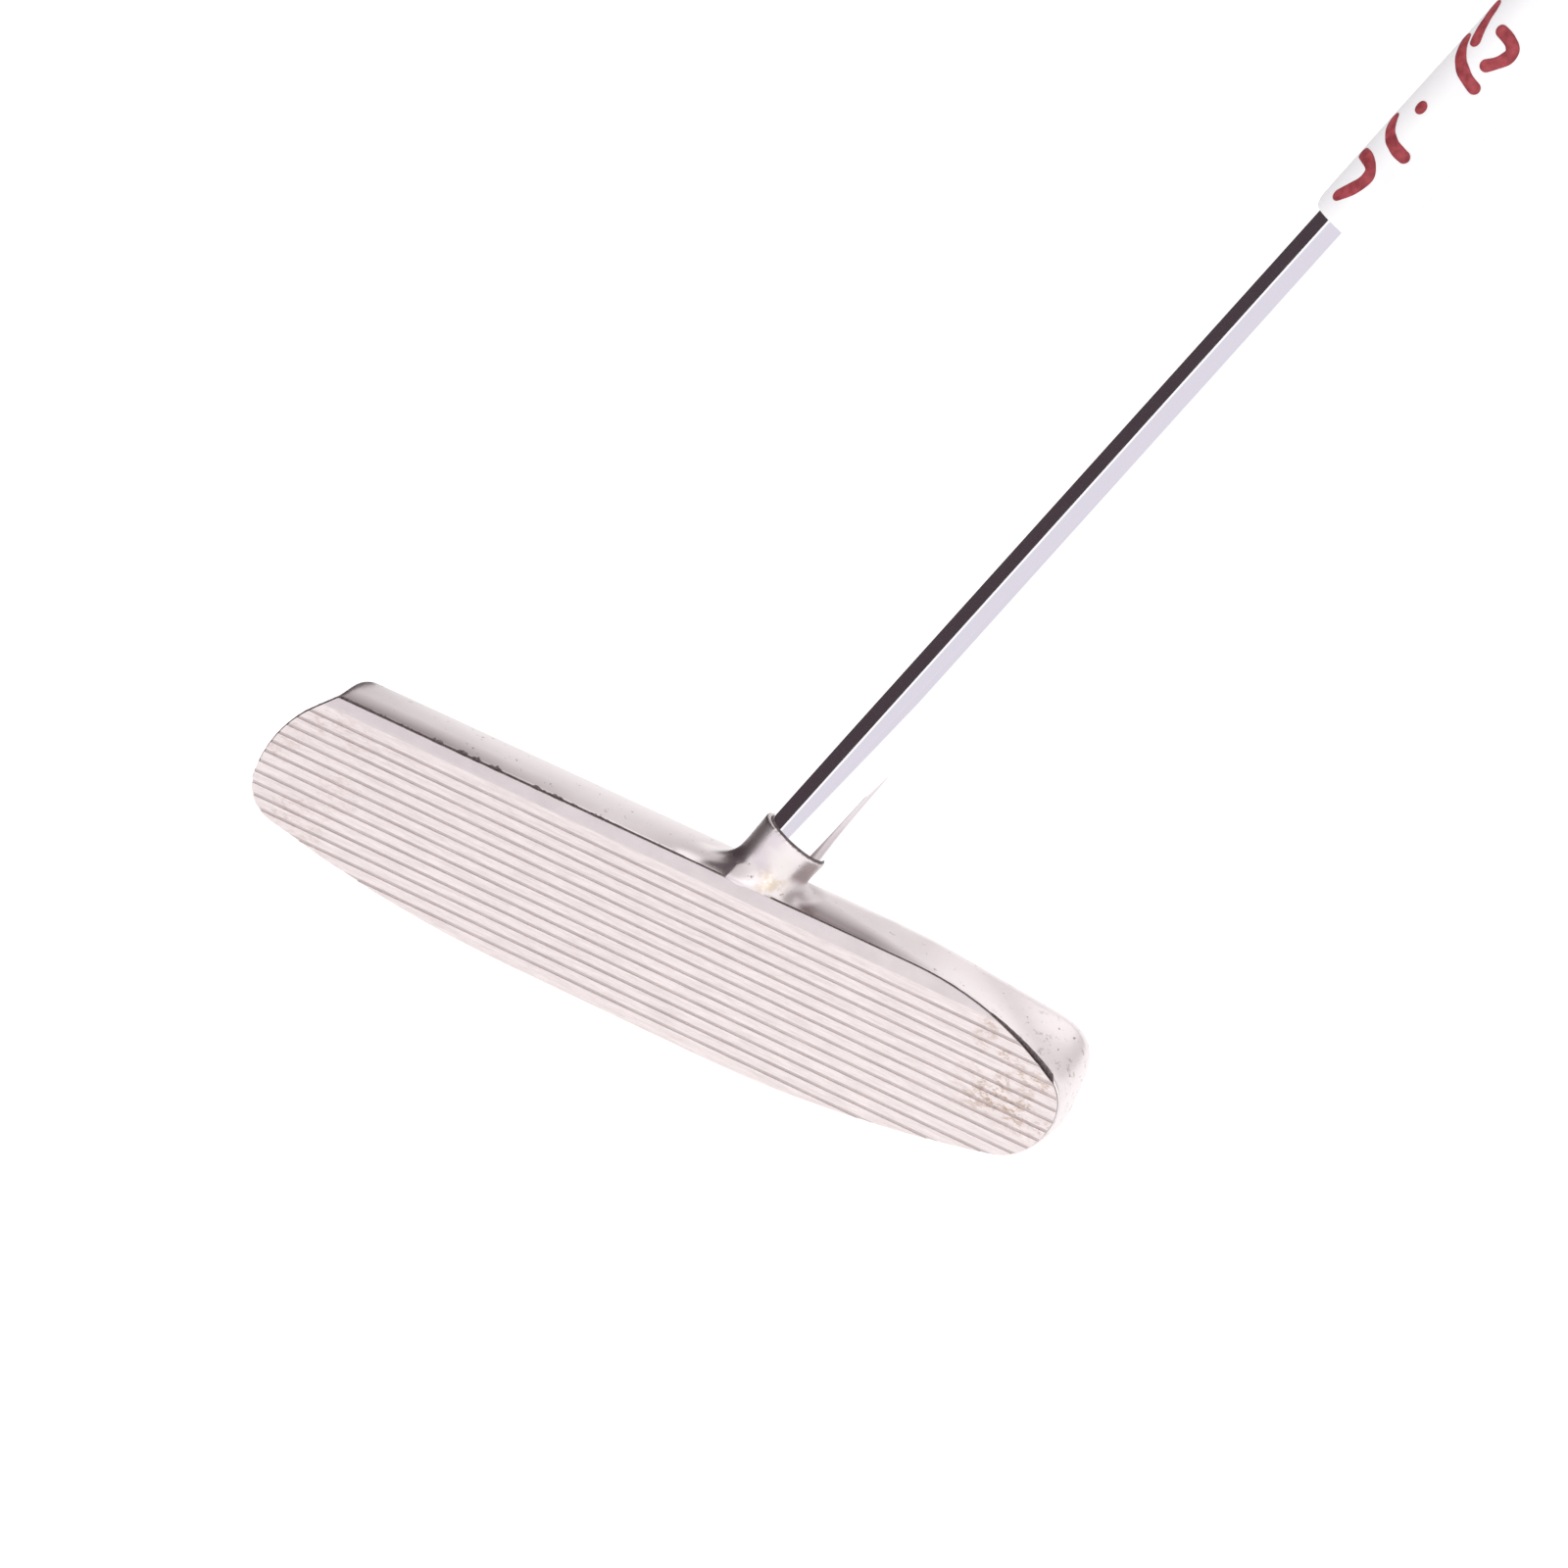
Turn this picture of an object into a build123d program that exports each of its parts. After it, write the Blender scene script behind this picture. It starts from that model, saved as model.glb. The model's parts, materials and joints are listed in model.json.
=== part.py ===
from build123d import *
import math
import os

os.makedirs("parts", exist_ok=True)

# Blade putter, right-handed, standing at address. Millimetres and degrees.
# +X runs from toe to heel, +Y from the face to the back, +Z is up and the sole rests on z = 0.
# The pieces are drawn with y = 0 on the sole's leading edge, then moved forward so that the
# origin is the middle of the sole.

# Club
CLUB_LENGTH = 889.0        # along the shaft, from the ground to the top of the grip cap
LIE = 71.6                 # shaft above the ground, leaning towards the heel
LOFT = 3.0                 # face leaning back from upright

# Head
SOLE_MIDDLE = 8.0          # behind the leading edge
HEAD_DEPTH = 15.4          # face to the back of the body
CREST_DEPTH = 11.4         # face to the highest line of the body
BACK_RADIUS = 3.0          # rounding of the back edge
BOND_GAP = 0.12            # film between face plate and body
BODY_MARGIN = 0.25         # body standing proud of the plate all round
PLATE_THICKNESS = 1.2
RECESS_SIZE = (66.0, 11.5)
RECESS_DEPTH = 2.6
RECESS_HEIGHT = 13.2       # middle of the back recess above the sole

# Face grooves
GROOVE_COUNT = 13
GROOVE_PITCH = 25.4 / 16
GROOVE_WIDTH = 0.42
GROOVE_DEPTH = 0.35
FIRST_GROOVE_DROP = 3.65   # first groove below the plate's top edge
PLATE_HEIGHT = 24.5
BEVEL_HEIGHT = 1.9         # plain band along the plate's top edge
BEVEL_DEPTH = 0.28
BEVEL_SKEW = 0.35          # the band narrows slightly towards the heel

# Hosel
HOSEL_X = 13.0             # middle of the bore's mouth
HOSEL_Y = 7.8
HOSEL_Z = 32.4
HOSEL_RADIUS = 5.3
HOSEL_OFFSET = 0.25        # the bore sits this far heelward of the hosel's own axis
FLARE_START = 7.5          # below the mouth
FLARE_RADIUS = 4.5         # hollow curve that widens the hosel towards the body
FLARE_DEPTH = 4.0
BORE_DEPTH = 25.0
MOUTH_CHAMFER = 0.15

# Shaft
TIP_RADIUS = 4.7           # 0.370 inch tip
BUTT_RADIUS = 7.35         # 0.580 inch butt
TUBE_WALL = 0.8
PARALLEL_TIP = 285.0       # plain length above the hosel's mouth
STEP_COUNT = 12
STEP_PITCH = 22.0
STEP_LENGTH = 2.4
GLUE_FILM = 0.1
TIP_CLEARANCE = 0.5        # shaft tip above the bottom of the bore
PLUG_LENGTH = 8.0

# Price label wrapped round the shaft
LABEL_START = 114.8        # above the hosel's mouth
LABEL_LENGTH = 76.0
LABEL_THICKNESS = 1.15
LABEL_EDGE_RADIUS = 0.8

# Grip
GRIP_LENGTH = 264.0
CAP_THICKNESS = 3.0
CAP_EDGE_RADIUS = 1.1
TAPE_THICKNESS = 0.2
VENT_RADIUS = 1.9

# Sections of the grip: height, flat front, half width and back, all from the shaft's axis
GRIP_SECTIONS = (
    (0.0, 8.5, 8.9, 8.9),
    (30.0, 9.0, 10.2, 10.0),
    (120.0, 9.4, 11.3, 11.2),
    (190.0, 9.8, 12.1, 13.2),
    (236.0, 10.2, 12.7, 17.4),
    (GRIP_LENGTH, 10.2, 12.8, 16.4),
)
GRIP_FRONT_CORNER = 4.2


def depth_plane(depth):
    """Plane parallel to the face, with x along the head and y up, facing the player's ball."""
    return Plane(origin=(0, depth, 0), x_dir=(1, 0, 0), z_dir=(0, -1, 0))


def outline(corners, depth, margin=0.0):
    """Face inside a closed chain of corners, each given as x, height and rounding radius."""
    points = [(x, height) for x, height, radius in corners]
    radii = [radius for x, height, radius in corners]
    face = make_face(FilletPolyline(*points, radius=radii, close=True))
    if margin:
        face = offset(face, amount=margin)
    return depth_plane(depth) * face


# Corners of the face plate, clockwise from the toe's top corner. The two 190 mm corners
# are the rocker of the sole, and the large heel radius is the drop of the top line.
PLATE_CORNERS = (
    (-54.3, 24.1, 0.4),
    (47.8, PLATE_HEIGHT, 48.0),
    (62.6, 16.6, 5.8),
    (62.6, 6.4, 8.2),
    (33.3, 0.0, 190.0),
    (-34.7, 0.0, 190.0),
    (-61.5, 5.1, 5.8),
    (-60.9, 17.0, 16.0),
)

# Corners of the body at its crest, which stands higher than the plate and stays high
# at the heel.
CREST_CORNERS = (
    (-54.9, 26.5, 3.2),
    (37.3, 27.2, 40.0),
    (63.2, 24.9, 6.0),
    (63.2, 7.2, 8.2),
    (33.3, 0.5, 190.0),
    (-34.7, 0.5, 190.0),
    (-61.0, 5.6, 5.6),
    (-59.4, 15.2, 28.0),
)


def tilt_to_loft(piece):
    """Lean a piece back by the loft and trim it level with the ground."""
    ground = Pos(0, 0, -10) * Box(200, 100, 20)
    return Rot(X=-LOFT) * piece - ground


# Local frame of the shaft: origin at the hosel's mouth, z up the shaft, x to the grip's front.
lie_angle = math.radians(LIE)
shaft_direction = Vector(math.cos(lie_angle), 0, math.sin(lie_angle))
grip_front = Vector(-math.sin(lie_angle), 0, math.cos(lie_angle))
shaft_frame = Plane(origin=(HOSEL_X, HOSEL_Y, HOSEL_Z), x_dir=grip_front, z_dir=shaft_direction)

bore_radius = TIP_RADIUS + GLUE_FILM
tip_z = TIP_CLEARANCE - BORE_DEPTH
grip_top_z = CLUB_LENGTH - HOSEL_Z / math.sin(lie_angle) - CAP_THICKNESS
grip_start_z = grip_top_z - GRIP_LENGTH


def on_shaft(piece):
    """Move a piece from the shaft's local frame to its place."""
    return shaft_frame.location * piece


def rod(radius, low, high):
    """Upright cylinder between two heights."""
    return Pos(0, 0, low) * Cylinder(radius, high - low, align=(Align.CENTER, Align.CENTER, Align.MIN))


def turned(points):
    """Solid of revolution about z from a closed outline of (radius, height) points."""
    return revolve(Plane.XZ * make_face(Polyline(*points, close=True)), Axis.Z)


def make_hosel():
    """Round stub with a hollow flare at its base, long enough to end inside the body."""
    low = -FLARE_START - FLARE_DEPTH
    swell = FLARE_RADIUS - math.sqrt(FLARE_RADIUS**2 - FLARE_DEPTH**2)
    flare = RadiusArc((HOSEL_RADIUS, -FLARE_START), (HOSEL_RADIUS + swell, low), FLARE_RADIUS)
    edges = flare + Polyline(
        (HOSEL_RADIUS + swell, low), (0, low), (0, 0), (HOSEL_RADIUS, 0), (HOSEL_RADIUS, -FLARE_START)
    )
    return on_shaft(Pos(HOSEL_OFFSET, 0, 0) * revolve(Plane.XZ * make_face(edges), Axis.Z))


def make_head_body():
    """Cast body: a sloping top behind the plate, a rounded back, a recess and the hosel."""
    front_depth = PLATE_THICKNESS + BOND_GAP
    front = outline(PLATE_CORNERS, front_depth, BODY_MARGIN)
    crest = outline(CREST_CORNERS, CREST_DEPTH)
    slope = loft([front, crest])
    rear = extrude(crest, amount=CREST_DEPTH - HEAD_DEPTH)
    rear = fillet(rear.faces().sort_by(Axis.Y)[-1].edges(), BACK_RADIUS)
    recess_face = RectangleRounded(*RECESS_SIZE, radius=4.5)
    recess = depth_plane(HEAD_DEPTH) * Pos(0, RECESS_HEIGHT) * recess_face
    recess = extrude(recess, amount=RECESS_DEPTH)
    return slope + rear - recess


def plate_blank(thickness):
    """Plain slab with the plate's outline, from the face plane backwards."""
    return extrude(outline(PLATE_CORNERS, 0), amount=-thickness)


def plate_room():
    """Everything the hosel must leave free: the plate and its film, and all in front of them."""
    room = plate_blank(PLATE_THICKNESS + BOND_GAP)
    return room + extrude(outline(PLATE_CORNERS, 0), amount=10)


def add_hosel(body):
    """Join the hosel to the tilted body, clear of the plate, and bore the blind hole."""
    joined = body + (make_hosel() - tilt_to_loft(plate_room()))
    bore = rod(bore_radius, -BORE_DEPTH, 1.0)
    mouth = turned((
        (0, 1),
        (bore_radius + MOUTH_CHAMFER + 1, 1),
        (bore_radius + MOUTH_CHAMFER, 0),
        (bore_radius, -MOUTH_CHAMFER * 2),
        (0, -MOUTH_CHAMFER * 2),
    ))
    return joined - on_shaft(bore) - on_shaft(mouth)


def make_face_plate():
    """Flat plate with a plain bevelled band above evenly spaced grooves."""
    plate = plate_blank(PLATE_THICKNESS)
    bevel_angle = math.degrees(math.atan2(BEVEL_DEPTH, BEVEL_HEIGHT))
    bevel = Pos(0, -2, 4) * Box(200, 4, 8)
    bevel = Pos(0, 0, PLATE_HEIGHT - BEVEL_HEIGHT) * Rot(0, BEVEL_SKEW, 0) * Rot(X=-bevel_angle) * bevel
    plate -= bevel
    for number in range(GROOVE_COUNT):
        height = PLATE_HEIGHT - FIRST_GROOVE_DROP - number * GROOVE_PITCH
        plate -= Pos(0, 0, height) * Box(200, 2 * GROOVE_DEPTH, GROOVE_WIDTH)
    return plate


def make_face_bond():
    """Thin film between plate and body, set in slightly from the plate's edge."""
    film = outline(PLATE_CORNERS, PLATE_THICKNESS, -0.1)
    return extrude(film, amount=-BOND_GAP)


def shaft_radius_steps():
    """Outer profile of the shaft as (radius, height), from the tip to the butt."""
    points = [(TIP_RADIUS - 0.4, tip_z), (TIP_RADIUS, tip_z + 1.0)]
    rise = (BUTT_RADIUS - TIP_RADIUS) / STEP_COUNT
    for number in range(STEP_COUNT):
        height = PARALLEL_TIP + number * STEP_PITCH
        radius = TIP_RADIUS + number * rise
        points.append((radius, height))
        points.append((radius + rise, height + STEP_LENGTH))
    points.append((BUTT_RADIUS, grip_top_z))
    return points


def make_shaft():
    """Stepped steel tube, open at both ends."""
    outer = shaft_radius_steps()
    inner = [(radius - TUBE_WALL, height) for radius, height in reversed(outer[1:])]
    inner.append((TIP_RADIUS - TUBE_WALL, tip_z))
    return on_shaft(turned(outer + inner))


def make_glue():
    """Glue film round the shaft in the bore, with the pool under the shaft's tip."""
    film_top = -MOUTH_CHAMFER * 2
    film = rod(bore_radius, -BORE_DEPTH, film_top) - rod(TIP_RADIUS, tip_z + 1.0, film_top)
    film -= turned((
        (0, tip_z),
        (TIP_RADIUS - 0.4, tip_z),
        (TIP_RADIUS, tip_z + 1.0),
        (0, tip_z + 1.0),
    ))
    return on_shaft(film)


def make_label():
    """Thick paper sleeve with softened edges."""
    radius = TIP_RADIUS + LABEL_THICKNESS
    sleeve = rod(radius, LABEL_START, LABEL_START + LABEL_LENGTH)
    sleeve = fillet(sleeve.edges(), LABEL_EDGE_RADIUS)
    return on_shaft(sleeve - rod(TIP_RADIUS, LABEL_START, LABEL_START + LABEL_LENGTH))


def grip_section(height, front, half_width, back):
    """D-shaped section: flat towards the thumbs, round behind."""
    back_corner = half_width - 0.4
    corners = ((front, half_width), (front, -half_width), (-back, -half_width), (-back, half_width))
    radii = (GRIP_FRONT_CORNER, GRIP_FRONT_CORNER, back_corner, back_corner)
    return Pos(0, 0, height) * make_face(FilletPolyline(*corners, radius=radii, close=True))


def make_grip():
    """Pistol putter grip with the shaft's bore through it."""
    sections = [grip_section(*row) for row in GRIP_SECTIONS]
    grip = loft(sections)
    grip -= rod(BUTT_RADIUS + TAPE_THICKNESS, -1, GRIP_LENGTH + 1)
    return on_shaft(Pos(0, 0, grip_start_z) * grip)


def make_grip_tape():
    """Tape sleeve on the butt of the shaft."""
    low = grip_start_z
    high = grip_top_z
    sleeve = rod(BUTT_RADIUS + TAPE_THICKNESS, low, high)
    return on_shaft(sleeve - rod(BUTT_RADIUS, low, high))


def make_grip_cap():
    """Butt cap of the grip's own outline, with a vent hole in line with the shaft."""
    cap = extrude(grip_section(*GRIP_SECTIONS[-1]), amount=CAP_THICKNESS)
    cap = fillet(cap.faces().sort_by(Axis.Z)[-1].edges(), CAP_EDGE_RADIUS)
    cap -= rod(VENT_RADIUS, GRIP_LENGTH - 1, GRIP_LENGTH + CAP_THICKNESS + 1)
    return on_shaft(Pos(0, 0, grip_start_z) * cap)


parts = {
    "head_body": add_hosel(tilt_to_loft(make_head_body())),
    "face_plate": tilt_to_loft(make_face_plate()),
    "face_bond": tilt_to_loft(make_face_bond()),
    "hosel_epoxy": make_glue(),
    "shaft": make_shaft(),
    "shaft_tip_plug": on_shaft(rod(TIP_RADIUS - TUBE_WALL, tip_z, tip_z + PLUG_LENGTH)),
    "price_label": make_label(),
    "grip_tape": make_grip_tape(),
    "grip_sleeve": make_grip(),
    "grip_cap": make_grip_cap(),
}

for name, shape in parts.items():
    export_step(Pos(0, -SOLE_MIDDLE, 0) * shape, f"parts/{name}.step")
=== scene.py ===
import json
import math

import bmesh
import bpy
import numpy as np
from mathutils import Matrix, Vector, noise
from mathutils.bvhtree import BVHTree


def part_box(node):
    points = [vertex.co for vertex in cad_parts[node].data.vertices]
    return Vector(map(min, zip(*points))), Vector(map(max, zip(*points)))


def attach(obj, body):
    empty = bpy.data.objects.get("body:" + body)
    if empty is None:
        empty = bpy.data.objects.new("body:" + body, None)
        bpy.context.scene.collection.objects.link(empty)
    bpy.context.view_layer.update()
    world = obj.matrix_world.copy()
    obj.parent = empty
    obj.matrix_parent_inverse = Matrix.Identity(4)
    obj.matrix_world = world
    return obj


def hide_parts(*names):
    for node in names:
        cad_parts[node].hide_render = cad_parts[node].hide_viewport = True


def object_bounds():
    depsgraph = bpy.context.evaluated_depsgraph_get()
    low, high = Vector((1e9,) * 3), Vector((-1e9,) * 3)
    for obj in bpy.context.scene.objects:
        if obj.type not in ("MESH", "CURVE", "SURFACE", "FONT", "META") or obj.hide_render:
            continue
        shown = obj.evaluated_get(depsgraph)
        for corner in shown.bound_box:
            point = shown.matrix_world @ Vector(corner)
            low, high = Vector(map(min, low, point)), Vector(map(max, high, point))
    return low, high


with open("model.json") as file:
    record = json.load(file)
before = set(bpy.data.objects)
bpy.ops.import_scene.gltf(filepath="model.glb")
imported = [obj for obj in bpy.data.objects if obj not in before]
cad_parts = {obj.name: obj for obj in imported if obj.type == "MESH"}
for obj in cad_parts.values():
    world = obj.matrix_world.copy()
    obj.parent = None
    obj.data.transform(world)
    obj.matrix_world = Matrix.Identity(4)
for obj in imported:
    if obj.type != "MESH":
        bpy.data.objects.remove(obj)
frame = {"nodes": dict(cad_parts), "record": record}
cad_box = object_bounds()

MM = 0.001
ROOT = "root"
nodes = frame["nodes"]
mounts = {mount["name"]: mount for mount in frame["record"]["mounts"]}

# ---------------------------------------------------------------- places taken from the frame

# The shaft's own frame: up the shaft, towards the front of the grip, and sideways.
SHAFT_UP = Vector(mounts["butt_vent"]["axis"]).normalized()
SHAFT_POINT = Vector(mounts["shaft_clip"]["pos_m"])
GRIP_FRONT = Vector((-SHAFT_UP.z, 0, SHAFT_UP.x))
GRIP_SIDE = SHAFT_UP.cross(GRIP_FRONT)


def along_shaft(node):
    """Lowest and highest distance of a node along the shaft, from SHAFT_POINT."""
    heights = [(v.co - SHAFT_POINT).dot(SHAFT_UP) for v in nodes[node].data.vertices]
    return min(heights), max(heights)


def outer_radius(node):
    """Largest distance of a node from the shaft's axis."""
    away = []
    for vertex in nodes[node].data.vertices:
        arm = vertex.co - SHAFT_POINT
        away.append((arm - SHAFT_UP * arm.dot(SHAFT_UP)).length)
    return max(away)


def shaft_place(height, radius, angle):
    """Point at a height, radius and angle round the shaft; angle 0 is the grip's front."""
    arm = GRIP_FRONT * math.cos(angle) + GRIP_SIDE * math.sin(angle)
    return SHAFT_POINT + SHAFT_UP * height + arm * radius


TIP_RADIUS = 4.7 * MM      # of the plain part of the shaft
MOUTH_DROP = 58.0 * MM     # from SHAFT_POINT down the shaft to the hosel's mouth
HOSEL_DROP = 62.5 * MM     # to about the hosel's middle
FOOT_DROP = 65.5 * MM      # to the hosel's foot on the body


def down_shaft(drop):
    """Point of the shaft's axis so far below SHAFT_POINT."""
    return SHAFT_POINT - SHAFT_UP * drop


LOFT = math.radians(3)
LEAN = math.tan(LOFT)
FACE_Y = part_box("face_plate")[0].y
LOFT_UP = Vector((0, math.sin(LOFT), math.cos(LOFT)))
LOFT_BACK = Vector((0, LOFT_UP.z, -LOFT_UP.y))

# ---------------------------------------------------------------- camera

CAMERA_AZIMUTH = math.radians(9.2)
CAMERA_ELEVATION = math.radians(10.8)
CAMERA_ROLL = math.radians(23.3)
CAMERA_DISTANCE = 0.950
CAMERA_LENS = 156.0
AIM_FROM_HEAD = Vector((7.6, -3.34, 22.1)) * MM


def make_camera():
    low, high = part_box("head_body")
    aim = (low + high) / 2 + AIM_FROM_HEAD
    back = Vector((
        math.sin(CAMERA_AZIMUTH) * math.cos(CAMERA_ELEVATION),
        -math.cos(CAMERA_AZIMUTH) * math.cos(CAMERA_ELEVATION),
        math.sin(CAMERA_ELEVATION),
    ))
    level = Vector((math.cos(CAMERA_AZIMUTH), math.sin(CAMERA_AZIMUTH), 0))
    upright = back.cross(level)
    right = level * math.cos(CAMERA_ROLL) + upright * math.sin(CAMERA_ROLL)
    up = upright * math.cos(CAMERA_ROLL) - level * math.sin(CAMERA_ROLL)
    data = bpy.data.cameras.new("camera")
    data.lens = CAMERA_LENS
    data.sensor_width = 36.0
    data.clip_start = 0.02
    data.clip_end = 50.0
    camera = bpy.data.objects.new("camera", data)
    bpy.context.scene.collection.objects.link(camera)
    turn = Matrix((right, up, back)).transposed().to_4x4()
    camera.matrix_world = Matrix.Translation(aim + back * CAMERA_DISTANCE) @ turn
    bpy.context.scene.camera = camera
    return back


VIEW_BACK = make_camera()

# ---------------------------------------------------------------- materials


class Shader:
    """A node material with short calls for the few nodes that the materials here share."""

    def __init__(self, name, color, roughness, metallic=0.0):
        self.material = bpy.data.materials.new(name)
        self.material.use_nodes = True
        self.tree = self.material.node_tree
        self.surface = self.tree.nodes["Principled BSDF"]
        self.set("Base Color", (*color, 1.0))
        self.set("Roughness", roughness)
        self.set("Metallic", metallic)
        self.place = self.node("ShaderNodeTexCoord").outputs["Object"]

    def node(self, kind, **settings):
        made = self.tree.nodes.new(kind)
        for key, value in settings.items():
            setattr(made, key, value)
        return made

    def set(self, socket, value):
        self.surface.inputs[socket].default_value = value

    def link(self, source, socket):
        self.tree.links.new(source, socket)

    def feed(self, socket, value):
        """Give an input either a constant or another node's output."""
        if isinstance(value, bpy.types.NodeSocket):
            self.link(value, socket)
        else:
            socket.default_value = value

    def noise(self, scale, detail=3.0, rough=0.55, stretch=None):
        """Noise with so many cells in a metre, drawn out along an axis by a stretch vector."""
        made = self.node("ShaderNodeTexNoise")
        made.inputs["Scale"].default_value = scale
        made.inputs["Detail"].default_value = detail
        made.inputs["Roughness"].default_value = rough
        place = self.place
        if stretch:
            mapping = self.node("ShaderNodeMapping")
            mapping.inputs["Scale"].default_value = stretch
            self.link(place, mapping.inputs["Vector"])
            place = mapping.outputs["Vector"]
        self.link(place, made.inputs["Vector"])
        return made.outputs["Fac"]

    def ramp(self, value, low, high, start=0.0, end=1.0):
        """Straight ramp of a value from start at low to end at high, held outside."""
        made = self.node("ShaderNodeMapRange")
        made.inputs["From Min"].default_value = low
        made.inputs["From Max"].default_value = high
        made.inputs["To Min"].default_value = start
        made.inputs["To Max"].default_value = end
        self.link(value, made.inputs["Value"])
        return made.outputs["Result"]

    def distance(self, centre):
        """Distance of each point from a fixed point of the part."""
        made = self.node("ShaderNodeVectorMath", operation="DISTANCE")
        self.link(self.place, made.inputs[0])
        made.inputs[1].default_value = centre
        return made.outputs["Value"]

    def along(self, direction, start):
        """Distance of each point along a direction, from a fixed point."""
        made = self.node("ShaderNodeVectorMath", operation="DOT_PRODUCT")
        self.link(self.place, made.inputs[0])
        made.inputs[1].default_value = direction
        return self.math("SUBTRACT", made.outputs["Value"], start.dot(direction))

    def math(self, operation, first, second):
        made = self.node("ShaderNodeMath", operation=operation)
        self.feed(made.inputs[0], first)
        self.feed(made.inputs[1], second)
        return made.outputs[0]

    def times(self, first, *others):
        """Product of several shares."""
        for other in others:
            first = self.math("MULTIPLY", first, other)
        return first

    def most(self, first, *others):
        """Largest of several shares."""
        for other in others:
            first = self.math("MAXIMUM", first, other)
        return first

    def behind_face(self):
        """Depth behind the flat of the face, which leans back by the loft."""
        upright = self.math("SUBTRACT", self.axis("Y"), self.math("MULTIPLY", self.axis("Z"), LEAN))
        return self.math("SUBTRACT", upright, FACE_Y)

    def axis(self, letter):
        made = self.node("ShaderNodeSeparateXYZ")
        self.link(self.place, made.inputs[0])
        return made.outputs[letter]

    def mix(self, share, first, second):
        """Colour between first and second, by a share from 0 to 1."""
        made = self.node("ShaderNodeMix", data_type="RGBA")
        self.feed(made.inputs["Factor"], share)
        for index, value in ((6, first), (7, second)):
            color = value if isinstance(value, bpy.types.NodeSocket) else (*value, 1.0)
            self.feed(made.inputs[index], color)
        return made.outputs[2]

    def color(self, value):
        self.link(value, self.surface.inputs["Base Color"])

    def roughness(self, value):
        self.link(value, self.surface.inputs["Roughness"])

    def bump(self, *layers):
        """Bump from (height, depth in metres, strength) layers, one over the other."""
        before = None
        for height, depth, strength in layers:
            made = self.node("ShaderNodeBump")
            made.inputs["Distance"].default_value = depth
            made.inputs["Strength"].default_value = strength
            self.link(height, made.inputs["Height"])
            if before:
                self.link(before, made.inputs["Normal"])
            before = made.outputs["Normal"]
        self.link(before, self.surface.inputs["Normal"])


def casting_pits(shader, pits):
    """Share of the small dark pits all over and the larger ones on the heel's end."""
    at_heel = shader.ramp(shader.axis("X"), 45 * MM, 58 * MM, 0.0, 0.55)
    large = shader.ramp(shader.noise(800, 4, 0.7), 0.58, 0.66)
    return shader.most(shader.ramp(pits, 0.69, 0.75), shader.times(at_heel, large))


def hosel_wear(shader, color):
    """The colour with a worn spot and brown stains on the front of the hosel's foot."""
    worn_spot = down_shaft(HOSEL_DROP) + Vector((1.0, -5.0, 0)) * MM
    worn = shader.ramp(shader.distance(worn_spot), 1.8 * MM, 4.2 * MM, 0.5, 0.0)
    stain_spot = down_shaft(HOSEL_DROP + 2.5 * MM) + Vector((1.6, -4.5, 0)) * MM
    near = shader.ramp(shader.distance(stain_spot), 1.2 * MM, 3.4 * MM, 0.85, 0.0)
    stain = shader.times(near, shader.ramp(shader.noise(620, 4, 0.7), 0.45, 0.60))
    return shader.mix(stain, shader.mix(worn, color, (0.80, 0.74, 0.735)), (0.68, 0.57, 0.45))


def cast_painted_shade(shader, cloud):
    """Share of painted shade: along the seam at the toe, a painted shadow in the trough beside the hosel
    and painted shade on its flanks.
    """
    behind = shader.behind_face()
    x = shader.axis("X")
    # Painted shade on the slope along the plate's top at the toe, darkest at the seam and patchy.
    seam_shade = shader.times(
        shader.ramp(behind, 1.3 * MM, 5.0 * MM, 1.0, 0.0),
        shader.ramp(x, -12 * MM, -40 * MM),
        shader.ramp(cloud, 0.2, 0.5, 0.6, 0.95),
    )
    from_hosel = shader.distance(down_shaft(HOSEL_DROP))
    width = shader.ramp(x, 18 * MM, 36 * MM, 8.0 * MM, 2.2 * MM)
    across = shader.math("DIVIDE", shader.math("SUBTRACT", behind, 1.3 * MM), width)
    # Painted shadow in the trough beside the hosel's heel side, narrowing towards the heel.
    trough_shadow = shader.times(
        shader.ramp(across, 0.3, 1.0, 1.0, 0.0),
        shader.ramp(x, 12.5 * MM, 15.5 * MM),
        shader.ramp(x, 40 * MM, 28 * MM),
        shader.ramp(from_hosel, 6.5 * MM, 8.5 * MM),
    )
    toward_toe = shader.along(GRIP_FRONT, SHAFT_POINT)
    # Painted shade on both flanks of the hosel.
    flank_shade = shader.times(
        shader.most(
            shader.ramp(toward_toe, 2.8 * MM, 4.4 * MM, 0.0, 0.55),
            shader.ramp(toward_toe, -3.6 * MM, -4.6 * MM, 0.0, 0.55),
        ),
        shader.ramp(shader.along(SHAFT_UP, SHAFT_POINT), -67.5 * MM, -65.0 * MM),
        shader.ramp(from_hosel, 7.0 * MM, 9.0 * MM, 1.0, 0.0),
    )
    return shader.most(seam_shade, trough_shadow, flank_shade)


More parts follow.
